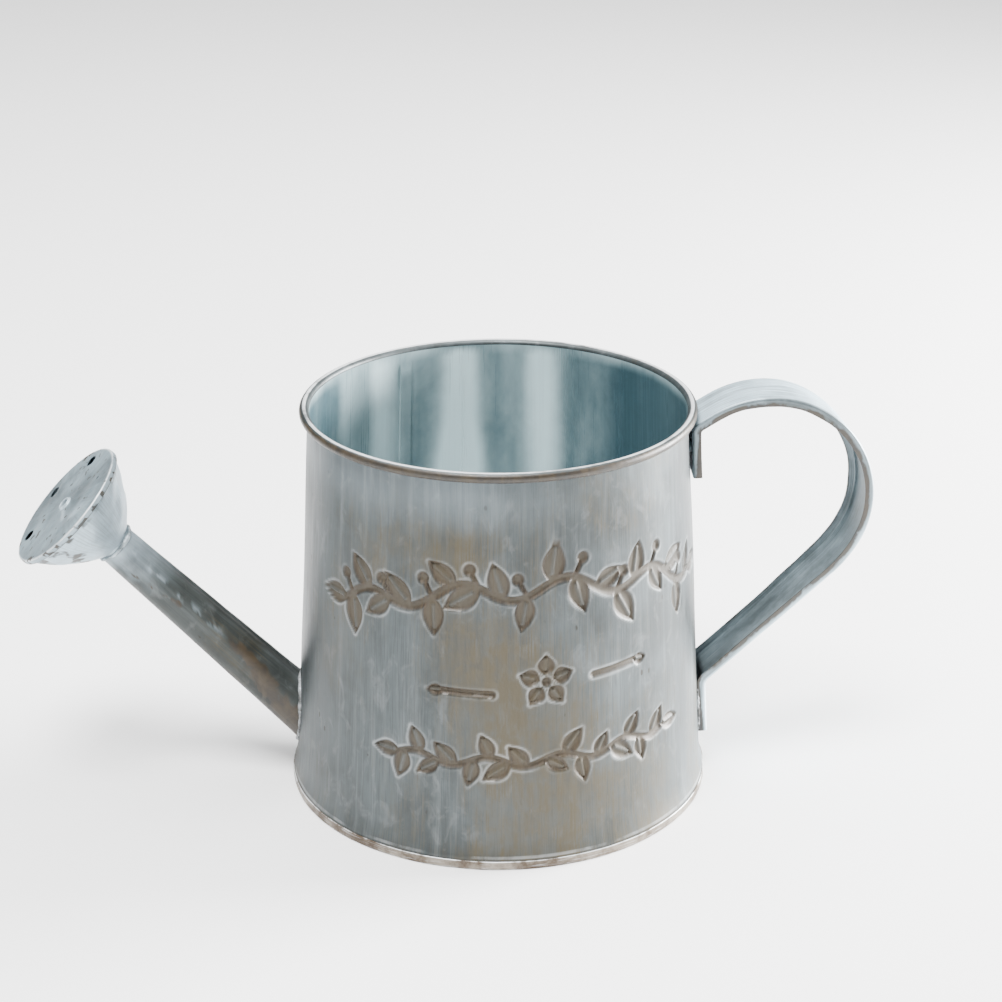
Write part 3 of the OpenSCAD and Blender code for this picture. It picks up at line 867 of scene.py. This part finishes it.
def make_face(material):
    """The pierced face, pressed over the bell's edge, with a raised nozzle in its middle."""
    top = ROSE_DEPTH
    nozzle_out = NOZZLE_R + SHEET
    outline = [(NOZZLE_R, top - SHEET), (NOZZLE_R, top + NOZZLE_HEIGHT),
               (nozzle_out, top + NOZZLE_HEIGHT), (nozzle_out + 0.1, top)]
    rings = [(r, top) for r in np.arange(2.6, ROSE_R - 0.6, 0.45)]
    outline += rings + [(ROSE_R, top), (ROSE_R, top - ROSE_SKIRT),
                        (ROSE_R - SHEET, top - ROSE_SKIRT), (ROSE_R - SHEET, top - SHEET)]
    radii = [0.1, 0.14, 0.14, 0.5] + [0] * len(rings) + [0.55, 0.15, 0.15, 0.2]
    profile = outward(rounded(outline, radii, 4))
    pts, faces, uvs = revolve(profile, 200, start=90)
    r = np.hypot(pts[:, 0], pts[:, 1])
    upper = (pts[:, 2] > top - 0.05) & (r > nozzle_out + 0.5) & (r < ROSE_R - 0.7)
    lump = perlin(pts, 4.5, 2.2, 2)
    dish = -0.16 * np.clip(lump + 0.45, 0, 1)
    for angle in HOLE_ANGLES:
        c = HOLE_RING_R * np.array([math.cos(math.radians(angle)), math.sin(math.radians(angle))])
        d = np.hypot(pts[:, 0] - c[0], pts[:, 1] - c[1])
        dish -= 0.16 * hump(d, HOLE_R, 0.6)
    # a crust of old wash under the nozzle, and a run of it down the face
    x, y = pts[:, 0], pts[:, 1]
    crust = hump(x, 3.8, 2.6, y, -9.4, 1.7)
    run = hump(x, -0.6, 0.7) * smooth(-8.5, -6.5, y) * smooth(-1.5, -2.5, y)
    crust_high = crust * np.clip(0.7 + perlin(pts, 0.9, 5.0, 2), 0, 2)
    pts[:, 2] += np.where(upper, dish + 0.22 * crust_high + 0.15 * run, 0)
    # rubbed zinc along the top of the face's rim, lightened further as a painted highlight; the last
    # term of pale below paints it too
    worn = 0.5 * smooth(ROSE_R - 0.7, ROSE_R - 0.3, r) * (pts[:, 2] > top - 0.35)
    pale = 0.8 * np.where(upper, crust + run, 0) + smooth(2.1, 1.9, r) \
        + 0.5 * smooth(ROSE_R - 0.9, ROSE_R - 0.2, r)
    low_side = smooth(0.2, 0.9, -pts[:, 0] / 16)
    pitted = perlin(pts, 1.8, 3.9, 3)
    soiled = 1.1 * smooth(0.25, 0.5, pitted) * smooth(ROSE_R - 0.8, ROSE_R - 0.2, r) \
        + 0.8 * smooth(top - 1.15, top - 1.35, pts[:, 2]) * (r > ROSE_R - 0.2) \
        + 0.5 * low_side * smooth(ROSE_R - 2.4, ROSE_R - 0.6, r) * smooth(0.0, 0.5, pitted) \
        + 0.7 * smooth(0.4, 0.65, pitted) * upper
    obj = build("rose_plate", placed(pts, rose_matrix()), faces, [material],
                "rose_face", uvs, {"worn": worn, "soiled": soiled, "pale": np.clip(pale, 0, 1)})
    cutters = []
    for angle in HOLE_ANGLES:
        at = rose_matrix() @ Matrix.Rotation(math.radians(angle), 4, "Z") @ Matrix.Translation(
            (HOLE_RING_R, 0, top))
        cutters.append(cutter(HOLE_R, 3, at))
    place, radius = PINHOLE
    cutters.append(cutter(radius, 2.0, rose_matrix() @ Matrix.Translation((*place, top))))
    bake_boolean(obj, cutters)


def make_rose_solder(material):
    """The solder round the rose's neck."""
    n = 90
    centres, outs, radius = [], [], []
    for i in range(n):
        a = 2 * math.pi * i / n
        lift = -0.7 + 0.2 * math.sin(2 * a + 0.6) + 0.08 * math.sin(5 * a)
        centres.append(np.array([5.05 * math.cos(a), 5.05 * math.sin(a), lift]))
        outs.append(np.array([math.cos(a), math.sin(a), 0.2]))
        blob = 0.25 * hump(a, 5.4, 0.6) + 0.1 * hump(a, 2.2, 0.4)
        radius.append(0.42 + blob + 0.03 * math.sin(7 * a))
    lumpy_ring("rose_neck_solder", np.array(centres), np.array(outs), radius, material,
               "rose_solder", seed=9.1, rough=0.08, matrix=rose_matrix())


# ---------------- handle
def heading(angle):
    """The unit vector at angle degrees in the (x, z) plane."""
    return np.array([math.cos(math.radians(angle)), math.sin(math.radians(angle))])


def strap_path():
    """Stations (x, z, direction) along the strap's outer face, close together."""
    lean = math.degrees(math.atan(WALL_SLOPE))
    up = 90 + lean
    stations = []

    def straight(a, b, angle, gap=1.6):
        count = max(2, int(np.linalg.norm(b - a) / gap))
        for k in range(count):
            stations.append((*(a + (b - a) * k / count), angle))

    def bend(p, angle, radius, sweep, count):
        for k in range(count):
            s = sweep * k / count
            q = p + radius * (heading(angle + 90) + heading(angle + s - 90))
            stations.append((*q, angle + s))
        return p + radius * (heading(angle + 90) + heading(angle + sweep - 90))

    corner = np.array([wall_r(LOWER_CORNER_Z) + LOWER_TAB_GAP, LOWER_CORNER_Z])
    turn = RUN_ANGLE - up
    cut = 2.0 * math.tan(math.radians(-turn / 2))
    start = np.array([wall_r(LOWER_TAB_Z) + LOWER_TAB_GAP, LOWER_TAB_Z])
    tab_end = corner - cut * heading(up)
    straight(start, tab_end, up)
    q = bend(tab_end, up, -2.0, turn, 9)
    run_end = corner + RUN_LENGTH * heading(RUN_ANGLE)
    straight(q, run_end, RUN_ANGLE)
    q = bend(run_end, RUN_ANGLE, EASE_RADIUS, EASE_SWEEP, 9)
    q = bend(q, RUN_ANGLE + EASE_SWEEP, LOOP_RADIUS, LOOP_SWEEP, 64)
    down = up + 180
    last = RUN_ANGLE + EASE_SWEEP + LOOP_SWEEP
    turn = down - last
    reach = (wall_r(q[1]) - q[0]) / (heading(last)[0] + WALL_SLOPE * heading(last)[1])
    top_corner = q + reach * heading(last)
    bend_start = top_corner - 3.0 * math.tan(math.radians(turn / 2)) * heading(last)
    straight(q, bend_start, last)
    q = bend(bend_start, last, 3.0, turn, 10)
    end = np.array([wall_r(UPPER_TAB_Z), UPPER_TAB_Z])
    straight(q, end, down)
    stations.append((*end, down))
    return np.array(stations)


def make_handle(material):
    """One strip bent to a loop, its edges turned in to a shallow channel, with a tab at each end."""
    w, f, s = STRAP_WIDTH / 2, FLANGE_DEPTH, SHEET
    outline = [(-w, f), (-w, 0)] + [(y, 0) for y in np.linspace(-w + 1.8, w - 1.8, 7)] \
        + [(w, 0), (w, f), (w - s, f), (w - s, s)] \
        + [(y, s) for y in np.linspace(w - 1.8, -w + 1.8, 7)] + [(-w + s, s), (-w + s, f)]
    radii = [0.13, 0.85] + [0] * 7 + [0.85, 0.13, 0.13, 0.5] + [0] * 7 + [0.5, 0.13]
    profile = rounded(outline, radii, 4)
    path = strap_path()
    count, n = len(path), len(profile)
    pts = np.zeros((count, n, 3))
    for i, (x, z, angle) in enumerate(path):
        left = heading(angle + 90)
        pts[i, :, 0] = x + profile[:, 1] * left[0]
        pts[i, :, 1] = profile[:, 0]
        pts[i, :, 2] = z + profile[:, 1] * left[1]
    flat = pts.reshape(-1, 3)
    side = np.tile(np.abs(profile[:, 0]) / w, count)
    depth = np.tile(profile[:, 1], count)
    # hammered edges: the flanges' depth and the width vary a little
    lump = perlin(np.stack([np.repeat(np.arange(count) * 1.4, n), flat[:, 1] * 3, 0 * side], axis=1),
                  14.0, 6.3, 2)
    flat[:, 1] *= 1 - 0.012 * np.clip(lump + 0.4, 0, 1) * smooth(0.7, 1.0, side)
    inward = np.repeat(np.array([heading(a + 90) for a in path[:, 2]]), n, axis=0)
    nudge = -0.28 * np.clip(lump + 0.3, 0, 1) * smooth(1.4, 2.3, depth)
    flat[:, 0] += nudge * inward[:, 0]
    flat[:, 2] += nudge * inward[:, 1]
    r = np.hypot(flat[:, 0], flat[:, 1])
    limit = wall_r(flat[:, 2]) + CLEAR
    push = (r < limit) & (flat[:, 2] < 60)
    flat[:, 0] = np.where(push, np.sqrt(np.maximum(limit ** 2 - flat[:, 1] ** 2, 0)), flat[:, 0])
    # hand bending has left the far side of the loop turned in a little
    turned = math.radians(TURNED_IN) * smooth(62, 84, flat[:, 0])
    flat[:, 0] -= (flat[:, 1] + w) * np.sin(turned)
    faces, corners = grid(count, n, wrap_cols=True)
    faces = faces.tolist()
    run = np.concatenate([[0], np.cumsum(np.hypot(np.diff(path[:, 0]), np.diff(path[:, 1])))])
    uvs = grid_uvs(corners, run, lengths(profile)).tolist()
    faces.append(list(range(n)))
    faces.append([(count - 1) * n + k for k in range(n)][::-1])
    uvs += [(0.0, 0.0)] * (2 * n)
    length = np.repeat(run, n)
    tab = smooth(0.99, 0.9, np.abs(length / run[-1] - 0.5) * 2)
    edge = smooth(0.9, 0.985, side)
    inner = np.tile(np.where((profile[:, 1] > SHEET - 0.05) & (np.abs(profile[:, 0]) < w - s + 0.05),
                             1.0, 0.0), count)
    lower = smooth(0.40, 0.50, length / run[-1])
    worn = 0.6 * edge * smooth(0.6, 0.2, depth) * (1 - lower)
    soiled = (0.42 + 0.35 * lower) * smooth(0.7, 1.1, depth) * edge * (1 - inner) \
        + 0.9 * edge * smooth(1.95, 2.2, depth) + 0.4 * (1 - tab) * edge
    # painted shade: darkens the channel's inner face, the flanges' sides, and the whole flange along the
    # lower run
    shade = np.maximum(inner, edge * np.maximum(0.6 * smooth(0.4, 0.9, depth), lower))
    build("handle_channel_strap", flat, faces, [material], "handle_strap", uvs,
          {"worn": worn, "soiled": soiled, "shade": shade})


def make_welds(material):
    """Two dished spot welds through the wall and the upper tab."""
    wall = wall_r(WELD_Z)
    low, high = wall - SHEET - 0.13, wall + SHEET + 0.13
    half = [(0.01, 0.1), (0.7, 0.07), (1.2, 0.0), (WELD_R - 0.05, 0.05), (WELD_R, 0.2)]
    profile = outward(np.array([(r, low + dip) for r, dip in half]
                               + [(r, high - dip) for r, dip in half[::-1]]))
    points, faces, uvs = [], [], []
    for side in (-1, 1):
        pts, f, uv = revolve(profile, 40)
        turned = np.stack([pts[:, 2], pts[:, 1], -pts[:, 0]], axis=1)
        turned += [0, side * WELD_SPACING / 2, WELD_Z]
        faces.append(f + sum(len(p) for p in points))
        points.append(turned)
        uvs.append(uv)
    build("upper_tab_welds", np.vstack(points), np.vstack(faces), [material],
          "upper_spot_welds", np.vstack(uvs))


def make_tab_solder(material):
    """A lumpy fillet down each side of the lower tab."""
    points, faces, uvs = [], [], []
    rows, sides = 44, 10
    for side in (-1, 1):
        pts = []
        for i in range(rows):
            z = LOWER_TAB_Z + 0.6 + (LOWER_CORNER_Z - LOWER_TAB_Z - 2.4) * i / (rows - 1)
            end = math.sin(math.pi * (i + 0.25) / (rows - 0.5)) ** 0.35
            y = STRAP_WIDTH / 2 + 0.12
            x = math.sqrt(wall_r(z) ** 2 - y * y) + 0.1
            size = end * (0.6 + 0.1 * math.sin(1.9 * z) + 0.08 * math.sin(4.3 * z + side))
            for k in range(sides):
                a = 2 * math.pi * k / sides
                pts.append((x + size * 0.75 * math.cos(a), side * (y + size * 0.8 * math.sin(a)), z))
        pts = np.array(pts)
        pts[:, 0] += 0.12 * perlin(pts, 1.3, 3.3 + side, 2)
        f, corners = grid(rows, sides, wrap_cols=True, flip=side < 0)
        base = sum(len(p) for p in points)
        caps = [[base + k for k in range(sides)][::side],
                [base + (rows - 1) * sides + k for k in range(sides)][::-side]]
        faces += (f + base).tolist() + caps
        uvs.append(grid_uvs(corners, np.arange(rows + 1.0) * 0.3, np.arange(sides + 1.0) * 0.5))
        uvs.append(np.zeros((2 * sides, 2)))
        points.append(pts)
    build("lower_tab_fillets", np.vstack(points), faces, [material], "lower_tab_solder",
          np.vstack(uvs))


# ---------------- stage, light and camera
def make_stage():
    """A plain pale floor, 8 m square."""
    size = 4000
    floor = new_object("floor", [(-size, -size, 0), (size, -size, 0), (size, size, 0), (-size, size, 0)],
                       [(0, 1, 2, 3)])
    paper = Nodes("floor_paper")
    floor.data.materials.append(paper.finish((0.92, 0.92, 0.92), 0.9))


def area_light(name, at, aim, power, width, height):
    """A white rectangular light; places and sizes in metres, power in watts."""
    data = bpy.data.lights.new(name, "AREA")
    data.shape = "RECTANGLE"
    data.size, data.size_y = width, height
    data.energy = power
    obj = bpy.data.objects.new(name, data)
    bpy.context.scene.collection.objects.link(obj)
    obj.location = at
    obj.rotation_euler = (Vector(aim) - Vector(at)).to_track_quat("-Z", "Y").to_euler()


def make_light():
    """A soft studio: dim white all round, a wide light overhead, one at the right, one in front."""
    world = bpy.data.worlds.new("studio")
    world.use_nodes = True
    background = world.node_tree.nodes["Background"]
    background.inputs["Color"].default_value = (1, 1, 1, 1)
    background.inputs["Strength"].default_value = 0.13
    bpy.context.scene.world = world
    area_light("overhead", (-0.1, 0.1, 1.5), (0, 0, 0), 50, 1.6, 1.6)
    area_light("right", (0.78, 0.22, 0.17), (0.02, 0, 0.06), 70, 0.45, 0.3)
    area_light("front_high", (-0.2, -0.45, 1.25), (0, 0.04, 0.07), 40, 0.5, 0.5)


def make_camera():
    """In front and above: azimuth and elevation of its place seen from 45.6 mm up the can's axis."""
    data = bpy.data.cameras.new("camera")
    data.sensor_width = 36.0
    data.lens = 83.4
    cam = bpy.data.objects.new("camera", data)
    bpy.context.scene.collection.objects.link(cam)
    azimuth, elevation, away = math.radians(-2.5), math.radians(25.06), 0.5744
    down = math.radians(22.62)
    cam.location = (away * math.cos(elevation) * math.sin(azimuth),
                    -away * math.cos(elevation) * math.cos(azimuth),
                    0.0456 + away * math.sin(elevation))
    cam.rotation_euler = (math.pi / 2 - down, 0.0, azimuth - math.radians(0.07))
    bpy.context.scene.camera = cam


def main():
    outside = zinc("whitewashed_zinc", (0.3, 0.7, 0.1), 0.48, 0.80, marks=True)
    tube = zinc("spout_zinc", (1.3, 0.2, 0.5), 0.52, 0.78, metal=0.5, tint=(0.046, 0.053, 0.051),
                deep=(0.020, 0.023, 0.021))
    strap = zinc("strap_zinc", (2.1, 1.4, 0.9), 0.60, 0.84, metal=0.5, tint=(0.68, 0.87, 0.98),
                 deep=(0.46, 0.59, 0.66))
    bell = zinc("bell_zinc_wash", (0.5, 2.6, 1.8), 0.60, 0.84, metal=0.45, streak=0.6,
                tint=(0.56, 0.70, 0.78), deep=(0.34, 0.43, 0.48))
    face = zinc("face_zinc_wash", (0.7, 1.6, 2.8), 0.60, 0.84, metal=0.45, streak=0.6,
                tint=(0.26, 0.34, 0.38), deep=(0.11, 0.14, 0.155))
    rim = zinc("rim_zinc", (3.1, 0.4, 2.2), 0.62, 0.80, metal=0.5, streak=0.3)
    inside = bright_steel("inner_steel")
    solder = solder_metal("soft_solder", (0.055, 0.056, 0.054), (0.30, 0.32, 0.33))
    neck_solder = solder_metal("whitewashed_solder", (0.20, 0.24, 0.26), (0.52, 0.60, 0.64))
    foot = foot_metal("foot_patina_metal")
    wire = bright_steel("wire_steel")
    make_wall(outside, inside, rim)
    make_wire(wire)
    make_base(foot, inside)
    make_spout(tube)
    make_spout_solder(solder)
    make_bell(bell)
    make_face(face)
    make_rose_solder(neck_solder)
    make_handle(strap)
    make_welds(wire)
    make_tab_solder(solder)
    make_stage()
    make_light()
    make_camera()


main()
